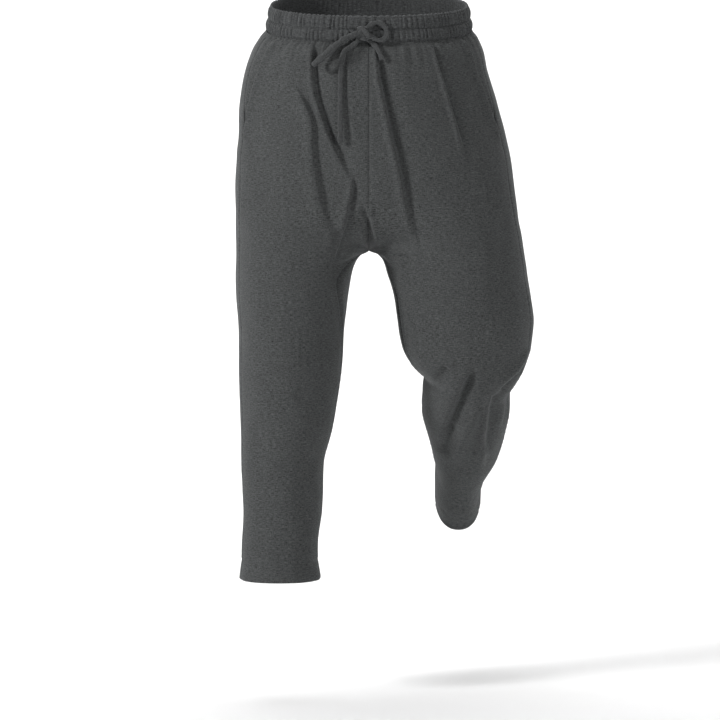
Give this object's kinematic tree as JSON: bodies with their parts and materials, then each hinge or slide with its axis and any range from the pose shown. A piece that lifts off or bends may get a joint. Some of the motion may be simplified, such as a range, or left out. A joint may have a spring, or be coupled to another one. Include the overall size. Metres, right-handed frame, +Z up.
{
  "type": "harem pants",
  "caption": "Cropped harem pants with an elastic drawstring waist, front pleats, slanted pockets and a dropped crotch, in the form of a walking step.",
  "frame": {"origin": "centre of the waistband's ring, where the waist holds the pants", "axes": "+Z up along the body, -Y towards the front, +X towards the wearer's left"},
  "size_m": [0.4823, 0.4048, 0.9407],
  "materials": {
    "panel_cloth": "matte charcoal heather knit with a faint crosshatch of light slubs",
    "band_cloth": "the same charcoal heather knit, gathered over elastic in two channels",
    "drawstring_cloth": "matte charcoal cloth tube, self-coloured"
  },
  "bodies": {
    "root": {"waistband": "band_cloth", "front_right": "panel_cloth", "front_left": "panel_cloth", "back_right": "panel_cloth", "back_left": "panel_cloth", "pocket_facing_right": "panel_cloth", "pocket_facing_left": "panel_cloth", "drawstring_knot": "drawstring_cloth", "drawstring_loop_left": "drawstring_cloth", "drawstring_loop_right": "drawstring_cloth", "drawstring_tail_long": "drawstring_cloth", "drawstring_tail_short": "drawstring_cloth"}
  },
  "joints": []
}
